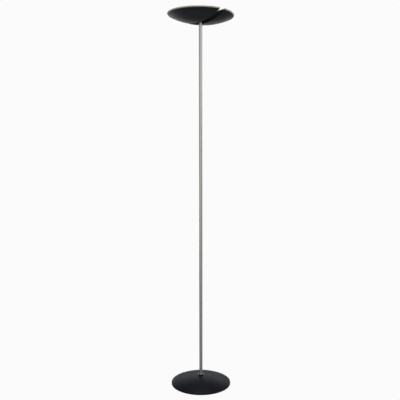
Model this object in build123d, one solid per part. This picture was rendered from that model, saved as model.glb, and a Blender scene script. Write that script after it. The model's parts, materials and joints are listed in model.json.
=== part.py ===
from build123d import *
import os
from math import cos, radians, sin, sqrt

# Torchiere floor lamp with a split dish.  Millimetres, +Z up, the origin on the floor
# under the middle of the round base.  The slot between the two half dishes runs along Y.
# The left half is the one at -X.  Both halves turn on one axle along Y at the pole's top.

# ---- driving dimensions ----
RIM_HEIGHT = 1850.0          # floor to the plane of the level dish's rim
RIM_RADIUS = 162.5           # outer edge of the glass rim
RIM_EDGE = 3.5               # height of the rim's ground edge, square to the glass
DISH_DEPTH = 40.2            # glass underside, middle of the dish to the rim's outer edge
GLASS = 4.0
SHELL = 1.5                  # metal half shell under each glass half
SHELL_GAP = 0.7              # between the glass and its shell
SHELL_DROP = 8.0             # how far the shell's bowl stays below the rim
WALL_DROP = 4.5              # and its slot wall
SLOT_HALF = 15.5             # pole axis to the slot walls
WALL_GASKET = 0.5
HINGE_DROP = 26.0            # rim plane down to the axle
LEFT_REST = 1.0              # how far the left half's outer edge stands above level, degrees
RIGHT_REST = -3.3            # the right half hangs a little below level

POLE_RADIUS = 8.0
POLE_WALL = 1.2
POLE_BOTTOM = 36.0
SECTION = 600.0              # each of the three screwed pole sections
THREAD_RADIUS = 5.0          # M10 x 1 lamp nipples
NIPPLE_BORE = 3.7
FIT = 0.05                   # radial play of every fitted round piece

BASE_RADIUS = 150.0
BASE_EDGE = 8.5              # top of the base cover's upright edge
BASE_HEIGHT = 44.0
COVER = 1.5
PAD = 2.0
PLATE = 1.5
COLLAR_LOW = 48.0            # underside of the pole's trim ring

LEAD_RADIUS = 1.45           # two-core silicone lead
LEAD_OFFSET = 1.6            # each lead's place off the pole's axis
CORE_RADIUS = 0.8

# ---- worked-out places ----
HINGE_Z = RIM_HEIGHT - HINGE_DROP
SPHERE = (RIM_RADIUS**2 + DISH_DEPTH**2) / (2 * DISH_DEPTH)      # glass outer radius
SPHERE_Z = RIM_HEIGHT - RIM_EDGE - DISH_DEPTH + SPHERE
SHELL_OUTER = SPHERE + SHELL_GAP + SHELL
GLASS_FACE = SLOT_HALF + SHELL + WALL_GASKET
BRACKET_FACE = GLASS_FACE + GLASS + WALL_GASKET
POLE_TOP = POLE_BOTTOM + 3 * SECTION
BASE_SPHERE = (BASE_RADIUS**2 + (BASE_HEIGHT - BASE_EDGE)**2) / (2 * (BASE_HEIGHT - BASE_EDGE))
PLATE_TOP = PAD + PLATE

# stack on the axle, from the pole outwards along Y
SADDLE_END = 10.5
WASHER = 0.8
EAR = 2.5
LEFT_EAR = SADDLE_END + WASHER
RIGHT_EAR = LEFT_EAR + EAR + WASHER
THRUST = RIGHT_EAR + EAR
SPRING_SEAT = THRUST + 1.0
NUT_SEAT = SPRING_SEAT + 1.5
NUT_END = NUT_SEAT + 5.0
AXLE_END = NUT_END + 2.4
BUSH_END = AXLE_END + 1.2

# lamp, in each half: its axis runs along Y beside the slot wall
LAMP_X = 50.0
LAMP_Z = RIM_HEIGHT - 12.0
SHELF_TOP = RIM_HEIGHT - 23.5
SHEET = 1.5                  # lamp bracket's steel
CAP_END = 39.15              # half the lamp's overall length
CONTACT_TIP = 37.45          # floor of the recess in each lamp cap
HOLDER_START = 36.0
HOLDER_END = 54.0
CHAMBER_START = 44.2         # spring chamber in the lampholder
CHAMBER_END = 52.0
HOLDER_HALF = 7.0
CLAMP_Y = 28.0
CLAMP_Z = HINGE_Z + 5.5
LEAD_ENTRY_Y = 50.0


def block(x, y, z):
    """A box from pairs of low and high limits."""
    size = [high - low for low, high in (x, y, z)]
    middle = [(high + low) / 2 for low, high in (x, y, z)]
    return Pos(*middle) * Box(*size)


def bar(radius, start, end):
    """A round bar between two points."""
    along = Vector(*end) - Vector(*start)
    foot = (Align.CENTER, Align.CENTER, Align.MIN)
    return Plane(origin=start, z_dir=along) * Cylinder(radius, along.length, align=foot)


def tube(outer, inner, start, end):
    return bar(outer, start, end) - bar(inner, start, end)


def upright(radius, low, high):
    return bar(radius, (0, 0, low), (0, 0, high))


def ring(outer, inner, low, high):
    return upright(outer, low, high) - upright(inner, low, high)


def crosswise(radius, low, high, x=0.0, z=HINGE_Z):
    """A round bar along Y."""
    return bar(radius, (x, low, z), (x, high, z))


def both_ends(piece):
    """A piece on the axle at +Y, and the same one turned round to -Y."""
    return [piece, Rot(0, 0, 180) * piece]


def cable(radius, points, bends):
    """A cable along straight runs joined by arcs."""
    path = FilletPolyline(*points, radius=bends)
    start = Plane(origin=path @ 0, z_dir=path % 0)
    return sweep(start * Circle(radius), path=path)


def hexagon(across_flats, low, high):
    """A nut blank on the Z axis."""
    corner = across_flats / sqrt(3)
    return Pos(0, 0, low) * extrude(RegularPolygon(corner, 6), high - low)


def dome_height(radius, below=0.0):
    """Height of the base cover's dome, or of a surface that far inside it."""
    return BASE_HEIGHT - BASE_SPHERE + sqrt((BASE_SPHERE - below)**2 - radius**2)


# ---- base ----
def base_pad():
    """Felt disc that the lamp stands on, with pockets for the plate screws' heads."""
    pad = upright(BASE_RADIUS - 10, 0, PAD)
    for x, y in plate_screw_places():
        pad -= bar(3.8, (x, y, PAD - 1.1), (x, y, PAD))
    return pad


def base_plate():
    notch = block((-8, 8), (BASE_RADIUS - 9, BASE_RADIUS), (0, 10))
    plate = upright(BASE_RADIUS - 2.5, PAD, PLATE_TOP) - notch
    for x, y in plate_screw_places():
        plate -= bar(2.2, (x, y, 0), (x, y, 10))
    return plate


def plate_screw_places():
    turns = [radians(30 + 120 * k) for k in range(3)]
    return [(110 * cos(a), -110 * sin(a)) for a in turns]


def base_plate_screws():
    """Screws through the plate into the weight; their thin heads bed in the pad."""
    screws = []
    for x, y in plate_screw_places():
        head = bar(3.6, (x, y, PAD - 0.9), (x, y, PAD))
        shank = bar(2.0, (x, y, PAD), (x, y, PLATE_TOP + 5))
        slot = block((x - 4, x + 4), (y - 0.4, y + 0.4), (PAD - 1, PAD - 0.5))
        screws.append(head + shank - slot)
    return screws


def weight_body():
    """Outline of the iron weight, turned about the pole's axis."""
    edge_radius = BASE_RADIUS - 8
    shoulder = BASE_HEIGHT - COVER - 0.9
    points = [
        (THREAD_RADIUS + 0.2, 28), (13, 28), (13, PLATE_TOP), (edge_radius, PLATE_TOP),
        (edge_radius, 8), (70, 22), (24, 25), (18, shoulder), (POLE_RADIUS + 0.2, shoulder),
        (POLE_RADIUS + 0.2, POLE_BOTTOM), (THREAD_RADIUS + 0.2, POLE_BOTTOM),
    ]
    outline = make_face(Polyline(*[(r, 0, z) for r, z in points], close=True))
    return revolve(outline, Axis.Z)


def base_weight():
    channel = block((-21, 21), (0, BASE_RADIUS), (0, 21))
    body = weight_body() - channel
    for x, y in plate_screw_places():
        body -= bar(2.0 + FIT, (x, y, 0), (x, y, PLATE_TOP + 6))
    return body


def base_cover():
    """Spun steel dome with an upright edge and a hole for the pole."""
    hole = POLE_RADIUS + 0.2
    dome_top = dome_height(hole)
    dome_middle = (90.0, 0, dome_height(90.0))
    inner_edge = BASE_RADIUS - COVER
    inner_top = dome_height(hole, COVER)
    inner_middle = (90.0, 0, dome_height(90.0, COVER))
    inner_low = dome_height(inner_edge, COVER)
    lines = [
        ThreePointArc((hole, 0, dome_top), dome_middle, (BASE_RADIUS, 0, BASE_EDGE)),
        Line((BASE_RADIUS, 0, BASE_EDGE), (BASE_RADIUS, 0, 1)),
        Line((BASE_RADIUS, 0, 1), (inner_edge, 0, 1)),
        Line((inner_edge, 0, 1), (inner_edge, 0, inner_low)),
        ThreePointArc((inner_edge, 0, inner_low), inner_middle, (hole, 0, inner_top)),
        Line((hole, 0, inner_top), (hole, 0, dome_top)),
    ]
    cover = revolve(make_face(Wire(lines)), Axis.Z)
    crease = cover.edges().filter_by(GeomType.CIRCLE).filter_by(
        lambda e: abs(e.radius - BASE_RADIUS) < 0.01 and e.center().Z > 5)
    cover = fillet(crease, 2.0)
    return cover - block((-5, 5), (BASE_RADIUS - 4, BASE_RADIUS + 1), (1.8, 8.0))


def cord_inlet_bushing():
    """Snap-in bushing in the cover's back edge; its hole takes the supply cord."""
    middle = 4.9
    face = BASE_RADIUS + 0.1
    inner = BASE_RADIUS - COVER - 0.3
    flange = block((-6, 6), (face, face + 1), (middle - 3.5, middle + 3.5))
    body = block((-4.8, 4.8), (inner, face), (middle - 2.9, middle + 2.9))
    lip = block((-6, 6), (inner - 1.5, inner), (middle - 2.9, middle + 2.3))
    bushing = fillet(flange.edges().filter_by(Axis.Y), 1.5) + body + lip
    return bushing - crosswise(2.2, inner - 2, face + 2, z=middle)


TERMINAL_Y = (62.0, 80.0)
TERMINAL_X = (-12.0, -4.0, 4.0, 12.0)
TERMINAL_MIDDLE = PLATE_TOP + 7.5


def terminal_block():
    body = block((-17, 17), TERMINAL_Y, (PLATE_TOP, PLATE_TOP + 9))
    for x in TERMINAL_X:
        body += block((x - 3, x + 3), TERMINAL_Y, (PLATE_TOP + 9, PLATE_TOP + 15))
    for x in TERMINAL_X:
        body -= crosswise(1.7, TERMINAL_Y[0] - 1, TERMINAL_Y[1] + 1, x, TERMINAL_MIDDLE)
        for y in terminal_screw_places():
            body -= bar(1.5, (x, y, TERMINAL_MIDDLE), (x, y, 30))
    return body


def terminal_screw_places():
    low, high = TERMINAL_Y
    return (low + 4.5, high - 4.5)


def terminal_screws():
    screws = []
    for x in TERMINAL_X:
        for y in terminal_screw_places():
            top = PLATE_TOP + 14.2
            screw = bar(1.4, (x, y, TERMINAL_MIDDLE + LEAD_RADIUS + 0.1), (x, y, top))
            screws.append(screw - block((x - 2, x + 2), (y - 0.3, y + 0.3), (top - 0.7, top + 1)))
    return screws


def foot_nipple():
    return ring(THREAD_RADIUS, NIPPLE_BORE, 17, 56)


def foot_nut():
    return hexagon(14, 20.5, 26.4) - upright(THREAD_RADIUS + FIT, 20, 27)


def foot_washer():
    return ring(11, THREAD_RADIUS + 0.2, 26.4, 28)


def collar_gasket():
    return ring(11.5, POLE_RADIUS + 0.2, BASE_HEIGHT - 0.1, COLLAR_LOW)


def pole_collar():
    """Flared trim ring that hides the hole in the cover."""
    bore = POLE_RADIUS + 0.1
    low = COLLAR_LOW
    flare = ThreePointArc((15, 0, low + 1), (10.8, 0, low + 3.4), (9.3, 0, low + 8.2))
    lines = [
        Line((bore, 0, low), (15, 0, low)), Line((15, 0, low), (15, 0, low + 1)), flare,
        Line((9.3, 0, low + 8.2), (8.9, 0, low + 9)), Line((8.9, 0, low + 9), (bore, 0, low + 9)),
        Line((bore, 0, low + 9), (bore, 0, low)),
    ]
    return revolve(make_face(Wire(lines)), Axis.Z)


# ---- pole ----
def pole_section(number):
    low = POLE_BOTTOM + number * SECTION
    outer = upright(POLE_RADIUS, low, low + SECTION)
    outer = chamfer(outer.edges().filter_by(GeomType.CIRCLE), 0.35)
    return outer - upright(POLE_RADIUS - POLE_WALL, low, low + SECTION)


def upper_pole():
    return pole_section(2) - crosswise(THREAD_RADIUS + FIT, -20, 20)


def pole_inserts():
    """Threaded bushings pressed into the ends of the sections, five in all."""
    outer = POLE_RADIUS - POLE_WALL - FIT
    bore = THREAD_RADIUS + FIT
    inserts = [ring(outer, bore, POLE_BOTTOM + 0.2, POLE_BOTTOM + 18)]
    for joint in (POLE_BOTTOM + SECTION, POLE_BOTTOM + 2 * SECTION):
        inserts.append(ring(outer, bore, joint - 18, joint - 0.1))
        inserts.append(ring(outer, bore, joint + 0.1, joint + 18))
    return inserts


def joint_nipples():
    joints = (POLE_BOTTOM + SECTION, POLE_BOTTOM + 2 * SECTION)
    return [ring(THREAD_RADIUS, NIPPLE_BORE, z - 15, z + 15) for z in joints]


def pole_top_plug():
    plug = upright(POLE_RADIUS - POLE_WALL - FIT, POLE_TOP - 30, POLE_TOP - 0.2)
    plug -= upright(4.2, POLE_TOP - 31, HINGE_Z)
    plug -= crosswise(THREAD_RADIUS + FIT, -20, 20)
    return plug - upright(3, POLE_TOP - 6.5, POLE_TOP)


def pole_cap():
    """Low domed button whose spigot fits the plug."""
    edge, crown = 1.2, 2.4
    dome = (POLE_RADIUS**2 + crown**2) / (2 * crown)
    button = Pos(0, 0, POLE_TOP + edge + crown - dome) * Sphere(dome)
    button &= upright(POLE_RADIUS, POLE_TOP, POLE_TOP + 10)
    return button + upright(3 - FIT, POLE_TOP - 6, POLE_TOP)


# ---- hinge at the pole's top ----
def hinge_axle():
    """Hollow threaded axle, open underneath where the leads come up the pole."""
    axle = crosswise(THREAD_RADIUS, -AXLE_END, AXLE_END) - crosswise(NIPPLE_BORE, -30, 30)
    return axle - block((-2.5, 2.5), (-6.6, 6.6), (HINGE_Z - 6, HINGE_Z))


def saddle_spacers():
    saddle = crosswise(8, 5, SADDLE_END) - crosswise(THREAD_RADIUS + FIT, 4, 12)
    saddle -= upright(POLE_RADIUS + 0.02, HINGE_Z - 20, HINGE_Z + 20)
    return both_ends(saddle)


def axle_washer(start, thickness, radius=9.0):
    end = start + thickness
    return tube(radius, THREAD_RADIUS + 0.1, (0, start, HINGE_Z), (0, end, HINGE_Z))


def friction_washers():
    inner = both_ends(axle_washer(SADDLE_END, WASHER))
    return inner + both_ends(axle_washer(LEFT_EAR + EAR, WASHER))


def thrust_washers():
    return both_ends(axle_washer(THRUST, SPRING_SEAT - THRUST, 9.5))


def disc_springs():
    """Conical springs under the nuts, which keep the friction washers pressed."""
    inner, outer, thick = THREAD_RADIUS + 0.2, 8.8, 0.8
    points = [
        (outer, SPRING_SEAT), (outer, SPRING_SEAT + thick),
        (inner, NUT_SEAT), (inner, NUT_SEAT - thick),
    ]
    cone = revolve(make_face(Polyline(*[(r, y, 0) for r, y in points], close=True)), Axis.Y)
    return both_ends(Pos(0, 0, HINGE_Z) * cone)


def axle_nuts():
    nut = hexagon(14, NUT_SEAT, NUT_END) - upright(THREAD_RADIUS + FIT, NUT_SEAT, NUT_END)
    return both_ends(Pos(0, 0, HINGE_Z) * (Rot(-90, 0, 0) * nut))


def axle_bushes():
    """Nylon bushes that keep the leads off the axle's cut ends."""
    sleeve = crosswise(NIPPLE_BORE - FIT, AXLE_END - 4, AXLE_END)
    flange = crosswise(4.8, AXLE_END, BUSH_END)
    return both_ends(sleeve + flange - crosswise(LEAD_RADIUS + 0.15, AXLE_END - 5, BUSH_END + 1))


def supply_leads():
    """Two leads from the terminal block, up the pole and out of the axle's two ends."""
    drop = {-1: 9.0, 1: 13.5}
    leads = []
    for side in (-1, 1):
        y = side * LEAD_OFFSET
        points = [
            (side * 4, TERMINAL_Y[0] + 3, TERMINAL_MIDDLE), (side * 4, 34, TERMINAL_MIDDLE),
            (0, y, drop[side]), (0, y, HINGE_Z), (0, side * BUSH_END, HINGE_Z),
        ]
        leads.append(cable(LEAD_RADIUS, points, [20, 3.4, 4]))
    return leads


# ---- one half of the head, drawn as the level left half ----
def half_bowl(outer, inner, face, wall, edge, top):
    """Half of a spherical bowl, closed by a flat wall on its slot side.

    The bowl's rim is cut square to its surface, with its outer edge at the height edge,
    and the wall ends at the height top.
    """
    centre = Pos(0, 0, SPHERE_Z)
    keep = block((-400, -face), (-400, 400), (RIM_HEIGHT - 100, top))
    hollow = block((-400, -face - wall), (-400, 400), (RIM_HEIGHT - 100, top + 1))
    cut = rim_cone(outer, edge)
    return centre * Sphere(outer) & keep & cut, centre * Sphere(inner) & hollow


def rim_cone(outer, edge):
    """A cone from the sphere's middle through a circle on it at the height edge."""
    depth = SPHERE_Z - edge
    reach = sqrt(outer**2 - depth**2) / depth
    points = [(0, 0, SPHERE_Z), (0, 0, SPHERE_Z - 450), (450 * reach, 0, SPHERE_Z - 450)]
    return revolve(make_face(Polyline(*points, close=True)), Axis.Z)


def wall_hole(radius, y, z):
    return bar(radius, (-10, y, z), (-30, y, z))


def shell():
    whole, hollow = half_bowl(SHELL_OUTER, SPHERE + SHELL_GAP, SLOT_HALF, SHELL,
                              RIM_HEIGHT - SHELL_DROP, RIM_HEIGHT - WALL_DROP)
    bowl = whole - hollow - wall_hole(3, -LEAD_ENTRY_Y, HINGE_Z)
    for y in (-CLAMP_Y, CLAMP_Y):
        bowl -= wall_hole(2.15, y, CLAMP_Z)
    return bowl


def glass():
    """Glass half bowl; the top of its wall steps out over the shell's wall."""
    edge, top = RIM_HEIGHT - RIM_EDGE, RIM_HEIGHT - 0.3
    whole, hollow = half_bowl(SPHERE, SPHERE - GLASS, GLASS_FACE, GLASS, edge, top)
    lip, _ = half_bowl(SPHERE, SPHERE - GLASS, SLOT_HALF, GLASS, edge, top)
    lip &= block((-GLASS_FACE - 1, 0), (-400, 400), (RIM_HEIGHT - WALL_DROP + 0.5, top))
    bowl = whole - hollow + lip
    rim = bowl.edges().filter_by(
        lambda e: e.bounding_box().min.Z > edge - 0.01 and e.bounding_box().min.Z < edge + 0.01
        and e.bounding_box().max.Z < edge + 0.01)
    bowl = fillet(rim, 0.8) - wall_hole(3, -LEAD_ENTRY_Y, HINGE_Z)
    for y in (-CLAMP_Y, CLAMP_Y):
        bowl -= wall_hole(3, y, CLAMP_Z)
    return bowl


def glass_gaskets():
    """Silicone washers on both faces of the glass wall, at each clamp screw."""
    washers = []
    for x in (SLOT_HALF + SHELL, GLASS_FACE + GLASS):
        for y in (-CLAMP_Y, CLAMP_Y):
            start, end = (-x, y, CLAMP_Z), (-x - WALL_GASKET, y, CLAMP_Z)
            washers.append(tube(6, 2.2, start, end))
    return washers


def hinge_bracket(ear_start):
    """Steel bracket on the slot wall, with two ears that turn on the axle."""
    face, back = SLOT_HALF - 2, SLOT_HALF
    web = block((-back, -face), (-36, 36), (HINGE_Z - 6, HINGE_Z + 10))
    web = fillet(web.edges().filter_by(Axis.X), 3)
    for y in (-CLAMP_Y, CLAMP_Y):
        web -= wall_hole(2.15, y, CLAMP_Z)
    for side in (-1, 1):
        low, high = sorted((side * ear_start, side * (ear_start + EAR)))
        arm = block((-back + 0.5, 0), (low, high), (HINGE_Z - 6, HINGE_Z + 7))
        web += arm + crosswise(8, low, high)
    return web - crosswise(THREAD_RADIUS + FIT, -40, 40)


def clamp_screws():
    """Screws from the slot side, through bracket, shell and glass into the lamp bracket."""
    screws = []
    for y in (-CLAMP_Y, CLAMP_Y):
        face, tip = SLOT_HALF - 2, BRACKET_FACE + SHEET + 3
        shank = bar(2, (-face, y, CLAMP_Z), (-tip, y, CLAMP_Z))
        head = bar(3.8, (-face + 2.4, y, CLAMP_Z), (-face, y, CLAMP_Z))
        head = fillet(head.edges().filter_by(GeomType.CIRCLE).sort_by(Axis.X)[-1:], 1.1)
        socket = Pos(-face + 2.5, y, CLAMP_Z) * (Rot(0, 90, 0) * hexagon(2.5, -1.5, 0.5))
        screws.append(shank + head - socket)
    return screws


def wire_grommet():
    """Silicone grommet through both walls, round the lamp lead."""
    start, end = SLOT_HALF - 1.2, BRACKET_FACE + 1
    y, z = -LEAD_ENTRY_Y, HINGE_Z
    sleeve = bar(2.9, (-start, y, z), (-end, y, z))
    flange = bar(4.6, (-start, y, z), (-SLOT_HALF, y, z))
    return sleeve + flange - bar(LEAD_RADIUS + 0.1, (-10, y, z), (-30, y, z))


def lamp_bracket():
    """Bent steel bracket inside the glass: upstand, shelf and two end plates."""
    low = SHELF_TOP - SHEET
    upstand = block((-BRACKET_FACE - SHEET, -BRACKET_FACE), (-40, 40), (low, HINGE_Z + 12))
    shelf = block((-LAMP_X - 8, -BRACKET_FACE), (-40, 40), (low, SHELF_TOP))
    ends_width = (-LAMP_X - 8, -LAMP_X + 8)
    shelf += block(ends_width, (-HOLDER_END - SHEET, HOLDER_END + SHEET), (low, SHELF_TOP))
    bracket = upstand + shelf
    for side in (-1, 1):
        y = sorted((side * HOLDER_END, side * (HOLDER_END + SHEET)))
        bracket += block(ends_width, y, (low, LAMP_Z + 2))
        bracket -= crosswise(1.6, y[0] - 1, y[1] + 1, -LAMP_X, holder_screw_z())
        bracket -= wall_hole(2 + FIT, side * CLAMP_Y, CLAMP_Z)
    return bracket


def holder_screw_z():
    return SHELF_TOP + 4.5


def reflector():
    """Polished trough under the lamp, between its two holders."""
    outer, inner = 11.3, 10.5
    trough = crosswise(outer, -34, 34, -LAMP_X, LAMP_Z) - crosswise(inner, -34, 34, -LAMP_X, LAMP_Z)
    return trough - block((-LAMP_X - 20, -LAMP_X + 20), (-40, 40), (LAMP_Z - 3, LAMP_Z + 20))


def lampholder(side):
    """Ceramic block with an open-topped seat for the lamp's cap and a contact bore."""
    x = (-LAMP_X - HOLDER_HALF, -LAMP_X + HOLDER_HALF)
    y = sorted((side * HOLDER_START, side * HOLDER_END))
    body = block(x, y, (SHELF_TOP, LAMP_Z + 7.5))
    body = chamfer(body.edges().filter_by(Axis.Y), 1.2)
    seat_end = side * (CAP_END + 0.6)
    seat = sorted((side * (HOLDER_START - 1), seat_end))
    body -= crosswise(4.2, *seat, -LAMP_X, LAMP_Z)
    body -= block((-LAMP_X - 4.2, -LAMP_X + 4.2), seat, (LAMP_Z, LAMP_Z + 20))
    body -= crosswise(1.6, *sorted((side * 38, side * 46)), -LAMP_X, LAMP_Z)
    chamber = sorted((side * CHAMBER_START, side * CHAMBER_END))
    body -= crosswise(2.6, *chamber, -LAMP_X, LAMP_Z)
    shank = sorted((side * 46.5, side * (HOLDER_END + 1)))
    return body - crosswise(1.4 + FIT, *shank, -LAMP_X, holder_screw_z())


def lampholders():
    return [lampholder(-1), lampholder(1)]


def holder_screws():
    screws = []
    for side in (-1, 1):
        outside = side * (HOLDER_END + SHEET)
        z = holder_screw_z()
        shank = crosswise(1.4, *sorted((side * 47, outside)), -LAMP_X, z)
        head = crosswise(2.7, *sorted((outside, outside + side * 1.8)), -LAMP_X, z)
        slot = sorted((outside + side * 1.2, outside + side * 3))
        screws.append(shank + head - block((-LAMP_X - 3, -LAMP_X + 3), slot, (z - 0.4, z + 0.4)))
    return screws


def contact_pin(side):
    """Rounded contact that reaches into the recess of the lamp's cap."""
    tip = side * CONTACT_TIP
    shaft = crosswise(1.5, *sorted((tip + side * 1.5, side * CHAMBER_START)), -LAMP_X, LAMP_Z)
    flange_end = side * (CHAMBER_START + 1.2)
    flange = crosswise(2.4, *sorted((side * CHAMBER_START, flange_end)), -LAMP_X, LAMP_Z)
    tail = crosswise(1.1, *sorted((flange_end, side * 48)), -LAMP_X, LAMP_Z)
    nose = Pos(-LAMP_X, tip + side * 1.5, LAMP_Z) * Sphere(1.5)
    return shaft + nose + flange + tail


def contact_spring():
    """The space that the coiled contact spring fills, behind the sprung pin's flange."""
    low = CHAMBER_START + 1.2
    start, end = (-LAMP_X, low, LAMP_Z), (-LAMP_X, CHAMBER_END, LAMP_Z)
    return tube(2.35, 1.65, start, end)


def halogen_tube():
    """Quartz tube with drawn-in shoulders and a flat pinch at each end."""
    wall = 0.9
    points_out = [(0, 27.5), (2.2, 27.5), (5, 24.5), (5, -24.5), (2.2, -27.5), (0, -27.5)]
    points_in = [(0, 26), (1.8, 26), (5 - wall, 23.8), (5 - wall, -23.8), (1.8, -26), (0, -26)]
    bodies = []
    for points in (points_out, points_in):
        outline = make_face(Polyline(*[(r, y, 0) for r, y in points], close=True))
        bodies.append(revolve(outline, Axis.Y))
    quartz = bodies[0] - bodies[1]
    for side in (-1, 1):
        quartz += block((-2.9, 2.9), sorted((side * 26.8, side * 33.5)), (-1.1, 1.1))
    return Pos(-LAMP_X, 0, LAMP_Z) * quartz


def lamp_caps():
    """Ceramic caps cemented on the pinched ends, each with a recessed contact."""
    caps = []
    for side in (-1, 1):
        ends = sorted((side * 30, side * CAP_END))
        cap = crosswise(3.7, *ends, -LAMP_X, LAMP_Z)
        cap -= crosswise(2.1, *sorted((side * CONTACT_TIP, side * 41)), -LAMP_X, LAMP_Z)
        pinch = sorted((side * 29, side * 33.6))
        cap -= block((-LAMP_X - 3, -LAMP_X + 3), pinch, (LAMP_Z - 1.2, LAMP_Z + 1.2))
        caps.append(cap)
    return caps


def lamp_lead():
    """The lead from the axle's end through the wall to the front lampholder, and the
    single core that runs on to the back one."""
    y, z = -LEAD_ENTRY_Y, HINGE_Z
    terminal_z = SHELF_TOP + 7
    holder_side = -LAMP_X + HOLDER_HALF
    points = [
        (0, -BUSH_END, z), (0, y, z), (-25, y, z), (-33.5, y, terminal_z),
        (holder_side, y, terminal_z),
    ]
    lead = cable(LEAD_RADIUS, points, [10, 4, 4])
    run = -33.0
    core_points = [
        (holder_side, -43, terminal_z), (run, -43, terminal_z),
        (run, 47, terminal_z), (holder_side, 47, terminal_z),
    ]
    return [lead, cable(CORE_RADIUS, core_points, [5, 5])]


def place_half(pieces, left):
    """Turn a level left-half piece into its place in the standing lamp."""
    turned = pieces if isinstance(pieces, list) else [pieces]
    about = Pos(0, 0, HINGE_Z)
    tilt = LEFT_REST if left else RIGHT_REST
    place = Rot(0, 0, 0 if left else 180) * about * Rot(0, tilt, 0) * about.inverse()
    return [place * piece for piece in turned]


def half_nodes(left):
    side = "left" if left else "right"
    nodes = {
        "hinge_bracket": hinge_bracket(LEFT_EAR if left else RIGHT_EAR),
        "shell": shell(), "glass": glass(), "glass_gaskets": glass_gaskets(),
        "clamp_screws": clamp_screws(), "wire_grommet": wire_grommet(),
        "lamp_bracket": lamp_bracket(), "reflector": reflector(),
        "lampholders": lampholders(), "holder_screws": holder_screws(),
        "fixed_contact": contact_pin(-1), "sprung_contact": contact_pin(1),
        "contact_spring": contact_spring(), "halogen_tube": halogen_tube(),
        "lamp_caps": lamp_caps(), "lamp_lead": lamp_lead(),
    }
    return {f"{side}_{name}": place_half(made, left) for name, made in nodes.items()}


def stand_nodes():
    return {
        "base_pad": base_pad(), "base_plate": base_plate(),
        "base_plate_screws": base_plate_screws(), "base_weight": base_weight(),
        "base_cover": base_cover(), "cord_inlet_bushing": cord_inlet_bushing(),
        "terminal_block": terminal_block(), "terminal_screws": terminal_screws(),
        "foot_nipple": foot_nipple(), "foot_nut": foot_nut(), "foot_washer": foot_washer(),
        "collar_gasket": collar_gasket(), "pole_collar": pole_collar(),
        "lower_pole": pole_section(0), "middle_pole": pole_section(1),
        "upper_pole": upper_pole(), "pole_inserts": pole_inserts(),
        "joint_nipples": joint_nipples(), "pole_top_plug": pole_top_plug(),
        "pole_cap": pole_cap(), "hinge_axle": hinge_axle(),
        "saddle_spacers": saddle_spacers(), "friction_washers": friction_washers(),
        "thrust_washers": thrust_washers(), "disc_springs": disc_springs(),
        "axle_nuts": axle_nuts(), "axle_bushes": axle_bushes(),
        "supply_leads": supply_leads(),
    }


os.makedirs("parts", exist_ok=True)
for name, made in {**stand_nodes(), **half_nodes(True), **half_nodes(False)}.items():
    pieces = made if isinstance(made, list) else [made]
    solids = [solid for piece in pieces for solid in piece.solids()]
    whole = solids[0] if len(solids) == 1 else Compound(children=solids)
    export_step(whole, f"parts/{name}.step")
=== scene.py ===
import json
import math

import bmesh
import bpy
from mathutils import Matrix, Vector


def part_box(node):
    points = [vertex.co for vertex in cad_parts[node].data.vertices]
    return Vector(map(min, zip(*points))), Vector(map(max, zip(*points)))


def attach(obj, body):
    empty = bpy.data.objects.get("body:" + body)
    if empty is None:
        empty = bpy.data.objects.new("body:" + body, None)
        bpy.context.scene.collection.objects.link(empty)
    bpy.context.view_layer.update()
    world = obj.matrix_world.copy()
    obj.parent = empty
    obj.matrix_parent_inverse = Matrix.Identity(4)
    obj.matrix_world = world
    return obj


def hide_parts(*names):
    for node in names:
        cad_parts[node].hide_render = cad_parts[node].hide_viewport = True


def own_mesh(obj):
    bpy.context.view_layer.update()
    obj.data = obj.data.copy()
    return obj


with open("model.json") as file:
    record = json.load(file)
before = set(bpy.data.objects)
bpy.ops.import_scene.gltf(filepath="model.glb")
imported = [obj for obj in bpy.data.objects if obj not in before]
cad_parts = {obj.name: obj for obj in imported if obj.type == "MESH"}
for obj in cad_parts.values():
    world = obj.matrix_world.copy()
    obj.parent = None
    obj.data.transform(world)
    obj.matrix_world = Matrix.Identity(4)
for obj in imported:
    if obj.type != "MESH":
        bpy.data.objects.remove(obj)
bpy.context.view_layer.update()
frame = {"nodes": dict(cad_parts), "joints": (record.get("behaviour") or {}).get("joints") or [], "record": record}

# Torchiere floor lamp with a split dish.  Metres, +Z up, the slot along Y, the left half at -X.

CAMERA_AZIMUTH = math.radians(-39.4)
CAMERA_DISTANCE = 2.8457         # level distance from the pole
CAMERA_HEIGHT = 1.2087
CAMERA_PITCH = math.radians(-5.32)
CAMERA_ROLL = math.radians(-0.067)
CAMERA_LENS = 51.57
CAMERA_SENSOR = 36
CAMERA_SHIFT = -0.0018           # the pole stands just right of the middle
CAMERA_CLIP = 0.05

REST_TILT = {"left": math.radians(1.0), "right": math.radians(-3.3)}
HINGE_Z = next(j["pos_m"][2] for j in frame["joints"] if j["name"] == "left_half_tilt")
SIDES = ("left", "right")

FILAMENT_REACH = 0.0225          # half the length of the filament's coil
FILAMENT_RADIUS = 0.0009
FILAMENT_TURNS = 60
COIL_WIRE, TAIL_WIRE, SUPPORT_WIRE = 0.00022, 0.0003, 0.00015    # radii
TAIL_END = 0.0268                # where the tails enter the pinched ends
SUPPORT_RADIUS = 0.0037          # of the rings that bear on the quartz
SUPPORT_PLACES = (-0.011, 0.0, 0.011)

SPRING_RADIUS = 0.00205          # to the middle of the wire
SPRING_WIRE = 0.0003             # the wire's radius
SPRING_TURNS = 7

TROUGH_RADIUS = 0.0105           # of the reflector's floor, about the lamp
RIVET_PLACES = [(x, y) for x in (-0.004, 0.004) for y in (-0.022, 0.022)]
RIVET_DOME = ((0.0015, -0.0006), (0.0015, 0.0), (0.0013, 0.0004), (0.0008, 0.0007),
              (0.0002, 0.0008))  # radius and height

THREAD_RADIUS = 0.00492          # to the middle of the crest
THREAD_CREST = 0.0003
THREAD_TURNS = 2.2
THREAD_START = 0.0002            # in from the axle's end

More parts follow.
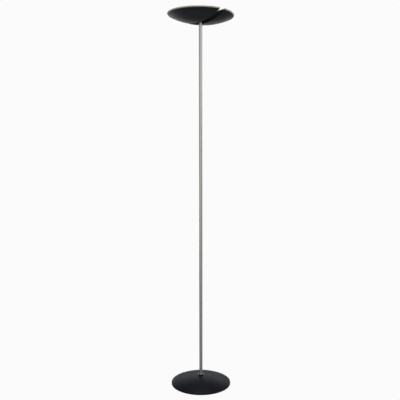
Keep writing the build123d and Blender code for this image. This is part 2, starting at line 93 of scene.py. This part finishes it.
FLOOR_RADIUS = 2.0
FLOOR_GAP = 0.0003               # keeps the floor clear of the felt's underside
FLOOR_TONE = (0.72, 0.72, 0.72, 1)
PALE = (0.972, 0.964, 0.970, 1)  # of the background and the floor
PALE_SHARE = 0.97                # of the floor's look, the rest being its shading
PALE_STRENGTH = 1.02             # makes up for the darker rest
# name, place, what it points at, size and power
LIGHTS = (
    ("key", (1.0, -3.4, 2.4), (0, 0, 1.4), (1.8, 1.8), 12.5),
    ("fill", (-3.6, -0.9, 1.7), (0, 0, 1.0), (1.6, 2.4), 5.6),
    ("back", (2.05, 2.15, 1.5), (0, 0, 0.4), (2.8, 1.2), 8.5),
    ("low", (0.2, 3.3, 0.5), (0, 0, 1.7), (2.0, 0.8), 5),
    ("top", (0, 0, 2.9), (0, 0, 1.8), (0.9, 0.9), 10),
)
# brightness of the surroundings, from straight down at 0 to straight up at 1
WORLD_STOPS = ((0.0, 0.14), (0.38, 0.42), (0.42, 0.48), (0.5, 0.62), (0.6, 0.60), (0.72, 0.36),
               (1.0, 0.22))
WORLD_FRONT = (-0.60, -0.80, 0)  # the brightest side
WORLD_SIDES = (0.0, 0.7, 0.40, 1.0)      # two shares of the front, then the brightness at each


# ---- materials ----
class Finish:
    """A material under construction, with short ways to add patterns to its shader."""

    def __init__(self, name, **sockets):
        self.material = bpy.data.materials.new(name)
        self.material.use_nodes = True
        self.nodes = self.material.node_tree.nodes
        self.links = self.material.node_tree.links
        self.shader = self.nodes["Principled BSDF"]
        self.place = self.nodes.new("ShaderNodeTexCoord").outputs["Object"]
        self.height = None
        for socket, value in sockets.items():
            self.shader.inputs[socket.replace("_", " ")].default_value = value

    def stretched(self, scale):
        """The object's own coordinates, scaled along each axis."""
        mapping = self.nodes.new("ShaderNodeMapping")
        mapping.inputs["Scale"].default_value = scale
        self.links.new(self.place, mapping.inputs["Vector"])
        return mapping.outputs["Vector"]

    def noise(self, scale, detail=3.0, roughness=0.5, stretch=None):
        node = self.nodes.new("ShaderNodeTexNoise")
        node.inputs["Scale"].default_value = scale
        node.inputs["Detail"].default_value = detail
        node.inputs["Roughness"].default_value = roughness
        source = self.place if stretch is None else self.stretched(stretch)
        self.links.new(source, node.inputs["Vector"])
        return node.outputs["Fac"]

    def cells(self, scale, feature="F1"):
        node = self.nodes.new("ShaderNodeTexVoronoi")
        node.feature = feature
        node.inputs["Scale"].default_value = scale
        self.links.new(self.place, node.inputs["Vector"])
        return node.outputs["Distance"]

    def span(self, value, low, high, start=0.3, end=0.7):
        """A value spread from its start and end onto a new range."""
        node = self.nodes.new("ShaderNodeMapRange")
        node.inputs["From Min"].default_value = start
        node.inputs["From Max"].default_value = end
        node.inputs["To Min"].default_value = low
        node.inputs["To Max"].default_value = high
        self.links.new(value, node.inputs["Value"])
        return node.outputs["Result"]

    def product(self, one, other):
        node = self.nodes.new("ShaderNodeMath")
        node.operation = "MULTIPLY"
        self.links.new(one, node.inputs[0])
        self.links.new(other, node.inputs[1])
        return node.outputs["Value"]

    def blend(self, value, low, high, start=0.3, end=0.7):
        """A colour between two, following a pattern."""
        ramp = self.nodes.new("ShaderNodeValToRGB")
        ramp.color_ramp.elements[0].position = start
        ramp.color_ramp.elements[0].color = (*low, 1)
        ramp.color_ramp.elements[1].position = end
        ramp.color_ramp.elements[1].color = (*high, 1)
        self.links.new(value, ramp.inputs["Fac"])
        return ramp.outputs["Color"]

    def over(self, amount, under, colour):
        """A colour laid over another by a pattern."""
        mix = self.nodes.new("ShaderNodeMix")
        mix.data_type = "RGBA"
        mix.inputs["B"].default_value = (*colour, 1)
        self.links.new(amount, mix.inputs["Factor"])
        self.links.new(under, mix.inputs["A"])
        return mix.outputs["Result"]

    def facing_up(self, start=0.75, end=0.98):
        """How nearly level the surface is, by its own normal."""
        geometry = self.nodes.new("ShaderNodeNewGeometry")
        split = self.nodes.new("ShaderNodeSeparateXYZ")
        self.links.new(geometry.outputs["Normal"], split.inputs["Vector"])
        return self.span(split.outputs["Z"], 0, 1, start, end)

    def bump(self, value, depth, strength=1.0):
        """Relief of a depth in metres, on top of any relief before it."""
        node = self.nodes.new("ShaderNodeBump")
        node.inputs["Distance"].default_value = depth
        node.inputs["Strength"].default_value = strength
        self.links.new(value, node.inputs["Height"])
        if self.height is not None:
            self.links.new(self.height, node.inputs["Normal"])
        self.height = node.outputs["Normal"]
        self.links.new(self.height, self.shader.inputs["Normal"])

    def set(self, socket, value):
        self.links.new(value, self.shader.inputs[socket])


def satin_black():
    """Powder coat: fine orange peel, soft variation and a trace of dust on level places."""
    f = Finish("satin_black", Roughness=0.42, Specular_IOR_Level=0.31)
    tone = f.blend(f.noise(14, 4), (0.0062, 0.0072, 0.0105), (0.0090, 0.0102, 0.0140))
    dust = f.product(f.facing_up(0.9, 1.0), f.span(f.noise(160, 6, 0.7), 0, 0.05, 0.48, 0.72))
    f.set("Base Color", f.over(dust, tone, (0.25, 0.25, 0.25)))
    f.set("Roughness", f.span(f.noise(30, 3), 0.38, 0.46))
    f.bump(f.noise(900, 2), 0.00005, 0.5)
    f.bump(f.noise(240, 2), 0.00008, 0.25)
    return f.material


def satin_chrome(name="satin_chrome", tone=(0.60, 0.61, 0.535)):
    """Plated tube with fine polishing lines round it and a few handling marks."""
    f = Finish(name, Metallic=1.0, Roughness=0.3)
    light = tuple(c * 1.04 for c in tone)
    f.set("Base Color", f.blend(f.noise(9, 5, 0.6), tone, light))
    f.set("Roughness", f.span(f.noise(60, 5, 0.7), 0.28, 0.32, 0.4, 0.75))
    f.bump(f.noise(1.0, 3, 0.6, stretch=(30, 30, 2600)), 0.000002, 0.25)
    return f.material


def zinc_steel():
    """Bright zinc plate: faint spangles and a slightly cloudy surface."""
    f = Finish("zinc_steel", Metallic=1.0, Roughness=0.35)
    spangle = f.cells(420)
    f.set("Base Color", f.blend(spangle, (0.50, 0.51, 0.53), (0.66, 0.665, 0.66), 0.1, 0.7))
    f.set("Roughness", f.span(f.noise(260, 4), 0.26, 0.44))
    f.bump(f.noise(700, 3), 0.00003, 0.4)
    return f.material


def spring_steel():
    f = Finish("spring_steel", Metallic=1.0, Roughness=0.28)
    f.set("Base Color", f.blend(f.noise(600, 3), (0.33, 0.34, 0.36), (0.47, 0.48, 0.50)))
    f.set("Roughness", f.span(f.noise(900, 2), 0.2, 0.36))
    return f.material


def cast_iron():
    f = Finish("cast_iron", Metallic=0.6, Roughness=0.75)
    rust = f.span(f.noise(70, 6, 0.7), 0, 0.5, 0.55, 0.75)
    tone = f.blend(f.noise(300, 5), (0.045, 0.045, 0.048), (0.10, 0.10, 0.10))
    f.set("Base Color", f.over(rust, tone, (0.16, 0.07, 0.035)))
    f.bump(f.noise(500, 6, 0.7), 0.0006, 0.7)
    return f.material


def felt():
    """Pressed black felt: matted fibres and a soft sheen."""
    f = Finish("felt", Roughness=0.95, Sheen_Weight=0.5, Sheen_Roughness=0.6)
    fibres = f.noise(1.0, 6, 0.7, stretch=(2200, 700, 2200))
    f.set("Base Color", f.blend(fibres, (0.008, 0.008, 0.009), (0.045, 0.045, 0.048)))
    f.bump(fibres, 0.0004, 0.8)
    f.bump(f.noise(1500, 5), 0.0003, 0.6)
    return f.material


def frosted_glass():
    """Satin-etched pressed glass, greenish in its thickness."""
    f = Finish("frosted_glass", Roughness=0.42, Transmission_Weight=0.2, IOR=1.5)
    cloud = f.noise(24, 5, 0.6)
    f.set("Base Color", f.blend(cloud, (0.84, 0.90, 0.68), (0.91, 0.95, 0.77)))
    f.set("Roughness", f.span(f.noise(60, 4), 0.36, 0.5))
    f.bump(f.noise(1400, 3), 0.00004, 0.5)
    f.bump(f.noise(45, 2), 0.0004, 0.12)
    return f.material


def quartz():
    f = Finish("quartz", Roughness=0.03, Transmission_Weight=1.0, IOR=1.46)
    f.set("Base Color", f.blend(f.noise(150, 3), (0.93, 0.94, 0.95), (1.0, 1.0, 1.0)))
    f.bump(f.noise(130, 2), 0.0003, 0.15)
    return f.material


def steatite():
    """Unglazed ceramic, with fine pores and a faint scorched tone."""
    f = Finish("ceramic", Roughness=0.7)
    tone = f.blend(f.noise(60, 5), (0.66, 0.63, 0.55), (0.82, 0.80, 0.74))
    pores = f.span(f.cells(1500), 0.35, 0.0, 0.0, 0.25)
    f.set("Base Color", f.over(pores, tone, (0.42, 0.38, 0.32)))
    f.bump(f.noise(1200, 4), 0.00012, 0.5)
    return f.material


def polished_aluminium():
    """Reflector sheet with a small hammered dimple."""
    f = Finish("aluminium", Metallic=1.0, Roughness=0.14)
    f.set("Base Color", f.blend(f.noise(180, 4), (0.80, 0.81, 0.82), (0.90, 0.90, 0.90)))
    f.bump(f.cells(330, "SMOOTH_F1"), 0.0006, 0.5)
    return f.material


def brass():
    f = Finish("brass", Metallic=1.0, Roughness=0.3)
    tarnish = f.span(f.noise(220, 5, 0.65), 0, 0.6, 0.45, 0.75)
    tone = f.blend(f.noise(90, 3), (0.62, 0.44, 0.17), (0.74, 0.55, 0.25))
    f.set("Base Color", f.over(tarnish, tone, (0.34, 0.22, 0.09)))
    f.set("Roughness", f.span(f.noise(500, 3), 0.22, 0.42))
    return f.material


def contact_metal():
    f = Finish("contact_metal", Metallic=1.0, Roughness=0.25)
    f.set("Base Color", f.blend(f.noise(900, 3), (0.60, 0.58, 0.50), (0.74, 0.72, 0.64)))
    f.set("Roughness", f.span(f.noise(700, 3), 0.18, 0.34))
    return f.material


def moulded(name, low, high, roughness, grain=1100):
    """Moulded plastic, rubber or silicone with a fine grain."""
    f = Finish(name, Roughness=roughness)
    f.set("Base Color", f.blend(f.noise(70, 4), low, high))
    f.set("Roughness", f.span(f.noise(200, 3), roughness - 0.07, roughness + 0.07))
    f.bump(f.noise(grain, 3), 0.00005, 0.5)
    return f.material


def vulcanised_fibre():
    f = Finish("fibre", Roughness=0.6)
    layers = f.noise(1.0, 4, 0.6, stretch=(900, 6000, 900))
    f.set("Base Color", f.blend(layers, (0.20, 0.06, 0.035), (0.33, 0.12, 0.07)))
    f.bump(layers, 0.00006, 0.6)
    return f.material


def tungsten():
    f = Finish("tungsten", Metallic=1.0, Roughness=0.4)
    f.set("Base Color", f.blend(f.noise(1500, 2), (0.22, 0.22, 0.24), (0.36, 0.36, 0.38)))
    return f.material


def dress_nodes():
    """Gives each CAD node the finished material of its slot."""
    made = {
        "satin_black": satin_black(), "satin_chrome": satin_chrome(),
        "satin_chrome_trim": satin_chrome("satin_chrome_trim", (0.34, 0.345, 0.33)),
        "zinc_steel": zinc_steel(), "spring_steel": spring_steel(),
        "cast_iron": cast_iron(), "felt": felt(), "frosted_glass": frosted_glass(),
        "quartz": quartz(), "ceramic": steatite(), "aluminium": polished_aluminium(),
        "brass": brass(), "contact_metal": contact_metal(), "fibre": vulcanised_fibre(),
        "black_nylon": moulded("black_nylon", (0.009, 0.009, 0.010), (0.016, 0.016, 0.017), 0.5),
        "white_nylon": moulded("white_nylon", (0.66, 0.65, 0.61), (0.76, 0.75, 0.71), 0.45),
        "black_rubber": moulded("black_rubber", (0.006, 0.006, 0.006), (0.012, 0.012, 0.012), 0.8),
        "silicone": moulded("silicone", (0.17, 0.045, 0.025), (0.24, 0.07, 0.04), 0.55),
    }
    for part in frame["record"]["subparts"]:
        mesh = frame["nodes"][part["node"]].data
        mesh.materials.clear()
        mesh.materials.append(made[part["material_slot"]])
    return made


# ---- extra pieces ----
def half_place(side):
    """The matrix that puts a level left-half piece in its place in the standing lamp."""
    about = Matrix.Translation((0, 0, HINGE_Z))
    tilt = Matrix.Rotation(REST_TILT[side], 4, "Y")
    turn = Matrix.Rotation(0 if side == "left" else math.pi, 4, "Z")
    return turn @ about @ tilt @ about.inverted()


def add_piece(name, mesh, body, material, place=None):
    if place is not None:
        mesh.transform(place)
    for polygon in mesh.polygons:
        polygon.use_smooth = True
    mesh.materials.append(material)
    piece = bpy.data.objects.new(name, mesh)
    bpy.context.scene.collection.objects.link(piece)
    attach(piece, body)
    return piece


def wire_mesh(name, lines, radius, sides):
    """Round wires along lists of points, as one mesh."""
    curve = bpy.data.curves.new(name, "CURVE")
    curve.dimensions = "3D"
    curve.bevel_depth = radius
    curve.bevel_resolution = sides // 2 - 1
    curve.use_fill_caps = True
    for points in lines:
        spline = curve.splines.new("POLY")
        spline.points.add(len(points) - 1)
        for at, point in zip(spline.points, points):
            at.co = (*point, 1)
    holder = bpy.data.objects.new(name, curve)
    mesh = bpy.data.meshes.new_from_object(holder)
    bpy.data.objects.remove(holder)
    bpy.data.curves.remove(curve)
    return mesh


def helix(centre, radius, low, high, turns, steps):
    """Points of a helix about a line along Y through centre."""
    count = int(turns * steps)
    points = []
    for k in range(count + 1):
        angle = 2 * math.pi * k / steps
        y = low + (high - low) * k / count
        points.append((centre.x + radius * math.cos(angle), y, centre.z + radius * math.sin(angle)))
    return points


def lathe(name, profile, steps):
    """A mesh of revolution about Z from (radius, height) points, closed at both ends."""
    shape = bmesh.new()
    rings = []
    for radius, height in profile:
        turn = [2 * math.pi * k / steps for k in range(steps)]
        rings.append([shape.verts.new((radius * math.cos(a), radius * math.sin(a), height))
                      for a in turn])
    for lower, upper in zip(rings, rings[1:]):
        for k in range(steps):
            after = (k + 1) % steps
            shape.faces.new((lower[k], lower[after], upper[after], upper[k]))
    shape.faces.new(list(reversed(rings[0])))
    shape.faces.new(rings[-1])
    mesh = bpy.data.meshes.new(name)
    shape.to_mesh(mesh)
    shape.free()
    return mesh


def joined(name, meshes):
    """One mesh from several, which are removed."""
    shape = bmesh.new()
    for mesh in meshes:
        shape.from_mesh(mesh)
        bpy.data.meshes.remove(mesh)
    whole = bpy.data.meshes.new(name)
    shape.to_mesh(whole)
    shape.free()
    return whole


def middle(node):
    low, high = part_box(node)
    return (low + high) / 2


def level_middle(node, side):
    """A node's middle, with its half turned back to level and to the left."""
    return half_place(side).inverted() @ middle(node)


def filament(side, made):
    """The coiled filament on its supports, inside the quartz tube."""
    centre = level_middle(f"{side}_halogen_tube", side)
    coil = helix(centre, FILAMENT_RADIUS, -FILAMENT_REACH, FILAMENT_REACH, FILAMENT_TURNS, 14)
    tails = [[(centre.x, end * FILAMENT_REACH, centre.z), (centre.x, end * TAIL_END, centre.z)]
             for end in (-1, 1)]
    supports = []
    for y in SUPPORT_PLACES:
        ring = [(centre.x + SUPPORT_RADIUS * math.cos(a), y, centre.z + SUPPORT_RADIUS * math.sin(a))
                for a in [math.radians(15 * k) for k in range(19)]]
        supports.append(ring + [(centre.x, y, centre.z)])
    mesh = joined(f"{side}_filament", [
        wire_mesh("coil", [coil], COIL_WIRE, 6), wire_mesh("tails", tails, TAIL_WIRE, 6),
        wire_mesh("supports", supports, SUPPORT_WIRE, 6)])
    add_piece(f"{side}_filament", mesh, f"{side}_half", made["tungsten"],
              half_place(side))


def contact_coil(side, made):
    """The compression spring that presses the sprung contact to the lamp.

    Its seat is the end that stays when the contact is pushed back."""
    node = f"{side}_contact_spring"
    centre = level_middle(node, side)
    low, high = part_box(node)
    length = high.y - low.y
    reach = length / 2 - SPRING_WIRE
    points = helix(centre, SPRING_RADIUS, centre.y - reach, centre.y + reach, SPRING_TURNS, 28)
    mesh = wire_mesh(node, [points], SPRING_WIRE, 8)
    piece = add_piece(f"{side}_contact_coil", mesh, f"{side}_half", made["spring_steel"],
                      half_place(side))
    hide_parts(node)
    seat = middle(node)
    seat.y = high.y if side == "left" else low.y
    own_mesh(piece)


def reflector_rivets(side, made):
    """Four blind rivets that hold the trough to the bracket's shelf."""
    centre = level_middle(f"{side}_halogen_tube", side)
    floor = centre.z - TROUGH_RADIUS
    heads = []
    for x, y in RIVET_PLACES:
        head = lathe("rivet", RIVET_DOME, 20)
        lift = TROUGH_RADIUS - math.sqrt(TROUGH_RADIUS**2 - x**2)
        lean = Matrix.Rotation(-math.asin(x / TROUGH_RADIUS), 4, "Y")
        head.transform(Matrix.Translation((centre.x + x, y, floor + lift)) @ lean)
        heads.append(head)
    mesh = joined(f"{side}_reflector_rivets", heads)
    add_piece(f"{side}_reflector_rivets", mesh, f"{side}_half", made["zinc_steel"],
              half_place(side))


def axle_threads(made):
    """The thread crests on the axle's two free ends."""
    low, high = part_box("hinge_axle")
    nut_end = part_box("axle_nuts")[1].y
    axis = Vector((0, 0, HINGE_Z))
    ends = ((nut_end, high.y - THREAD_START), (low.y + THREAD_START, -nut_end))
    threads = [helix(axis, THREAD_RADIUS, start, end, THREAD_TURNS, 40) for start, end in ends]
    mesh = wire_mesh("axle_threads", threads, THREAD_CREST, 6)
    add_piece("axle_threads", mesh, "stand", made["zinc_steel"])


# ---- stage ----
def make_camera():
    data = bpy.data.cameras.new("camera")
    data.lens = CAMERA_LENS
    data.sensor_width = CAMERA_SENSOR
    data.shift_x = CAMERA_SHIFT
    data.clip_start = CAMERA_CLIP
    camera = bpy.data.objects.new("camera", data)
    camera.location = (CAMERA_DISTANCE * math.sin(CAMERA_AZIMUTH),
                       -CAMERA_DISTANCE * math.cos(CAMERA_AZIMUTH), CAMERA_HEIGHT)
    turn = Matrix.Rotation(CAMERA_AZIMUTH, 3, "Z")
    aim = turn @ Matrix.Rotation(math.pi / 2 + CAMERA_PITCH, 3, "X")
    camera.rotation_euler = (aim @ Matrix.Rotation(CAMERA_ROLL, 3, "Z")).to_euler()
    bpy.context.scene.collection.objects.link(camera)
    bpy.context.scene.camera = camera


def make_lights():
    """Large soft boxes: a key to the camera's right, a fill to its left, two behind, one above."""
    for name, place, aim, size, power in LIGHTS:
        data = bpy.data.lights.new(name, "AREA")
        data.shape = "RECTANGLE"
        data.size, data.size_y = size
        data.energy = power
        light = bpy.data.objects.new(name, data)
        light.location = place
        light.rotation_euler = (Vector(aim) - Vector(place)).to_track_quat("-Z", "Y").to_euler()
        light.visible_camera = False
        bpy.context.scene.collection.objects.link(light)


def world_colour(place, level):
    """Neutral below the horizon and a little blue above it."""
    blue = max(0.0, place - 0.5)
    return (level * (1 - 0.25 * blue), level, level * (1 + 0.45 * blue), 1)


def make_world():
    """White for the eye; as a light it is dimmer below, above and behind the lamp."""
    world = bpy.data.worlds.new("world")
    bpy.context.scene.world = world
    world.use_nodes = True
    nodes, links = world.node_tree.nodes, world.node_tree.links

    def spread(value, *limits):
        node = nodes.new("ShaderNodeMapRange")
        for socket, limit in zip(("From Min", "From Max", "To Min", "To Max"), limits):
            node.inputs[socket].default_value = limit
        links.new(value, node.inputs["Value"])
        return node.outputs["Result"]

    where = nodes.new("ShaderNodeTexCoord").outputs["Generated"]
    split = nodes.new("ShaderNodeSeparateXYZ")
    links.new(where, split.inputs["Vector"])
    ramp = nodes.new("ShaderNodeValToRGB")
    stops = ramp.color_ramp.elements
    for stop, (place, level) in zip(stops, (WORLD_STOPS[0], WORLD_STOPS[-1])):
        stop.position = place
        stop.color = world_colour(place, level)
    for place, level in WORLD_STOPS[1:-1]:
        stops.new(place).color = world_colour(place, level)
    links.new(spread(split.outputs["Z"], -1, 1, 0, 1), ramp.inputs["Fac"])
    side = nodes.new("ShaderNodeVectorMath")
    side.operation = "DOT_PRODUCT"
    side.inputs[1].default_value = WORLD_FRONT
    links.new(where, side.inputs[0])

    light = nodes.new("ShaderNodeBackground")
    links.new(ramp.outputs["Color"], light.inputs["Color"])
    links.new(spread(side.outputs["Value"], *WORLD_SIDES), light.inputs["Strength"])
    seen = nodes["Background"]
    seen.inputs["Color"].default_value = PALE
    path = nodes.new("ShaderNodeLightPath")
    mix = nodes.new("ShaderNodeMixShader")
    links.new(path.outputs["Is Camera Ray"], mix.inputs["Fac"])
    links.new(light.outputs["Background"], mix.inputs[1])
    links.new(seen.outputs["Background"], mix.inputs[2])
    links.new(mix.outputs["Shader"], nodes["World Output"].inputs["Surface"])


def make_floor():
    """A pale seamless floor with a faint shadow, a hair under the lamp and clear from below."""
    shape = bmesh.new()
    bmesh.ops.create_circle(shape, cap_ends=True, segments=96, radius=FLOOR_RADIUS)
    mesh = bpy.data.meshes.new("floor")
    shape.to_mesh(mesh)
    shape.free()
    material = bpy.data.materials.new("floor")
    material.use_nodes = True
    nodes, links = material.node_tree.nodes, material.node_tree.links
    shader = nodes["Principled BSDF"]
    shader.inputs["Base Color"].default_value = FLOOR_TONE
    shader.inputs["Roughness"].default_value = 0.9
    shader.inputs["Specular IOR Level"].default_value = 0.1
    pale = nodes.new("ShaderNodeEmission")
    pale.inputs["Color"].default_value = PALE
    pale.inputs["Strength"].default_value = PALE_STRENGTH
    path = nodes.new("ShaderNodeLightPath")
    share = nodes.new("ShaderNodeMath")
    share.operation = "MULTIPLY"
    share.inputs[1].default_value = PALE_SHARE
    mix = nodes.new("ShaderNodeMixShader")
    links.new(path.outputs["Is Camera Ray"], share.inputs[0])
    links.new(share.outputs["Value"], mix.inputs["Fac"])
    links.new(shader.outputs["BSDF"], mix.inputs[1])
    links.new(pale.outputs["Emission"], mix.inputs[2])
    clear = nodes.new("ShaderNodeMixShader")
    links.new(nodes.new("ShaderNodeNewGeometry").outputs["Backfacing"], clear.inputs["Fac"])
    links.new(mix.outputs["Shader"], clear.inputs[1])
    links.new(nodes.new("ShaderNodeBsdfTransparent").outputs["BSDF"], clear.inputs[2])
    links.new(clear.outputs["Shader"], nodes["Material Output"].inputs["Surface"])
    mesh.materials.append(material)
    floor = bpy.data.objects.new("floor", mesh)
    floor.location.z = -FLOOR_GAP
    bpy.context.scene.collection.objects.link(floor)


bpy.context.scene.view_settings.view_transform = "Standard"
make_camera()
make_lights()
make_world()
make_floor()
finishes = dress_nodes()
finishes["tungsten"] = tungsten()
for side in SIDES:
    filament(side, finishes)
    contact_coil(side, finishes)
    reflector_rivets(side, finishes)
axle_threads(finishes)
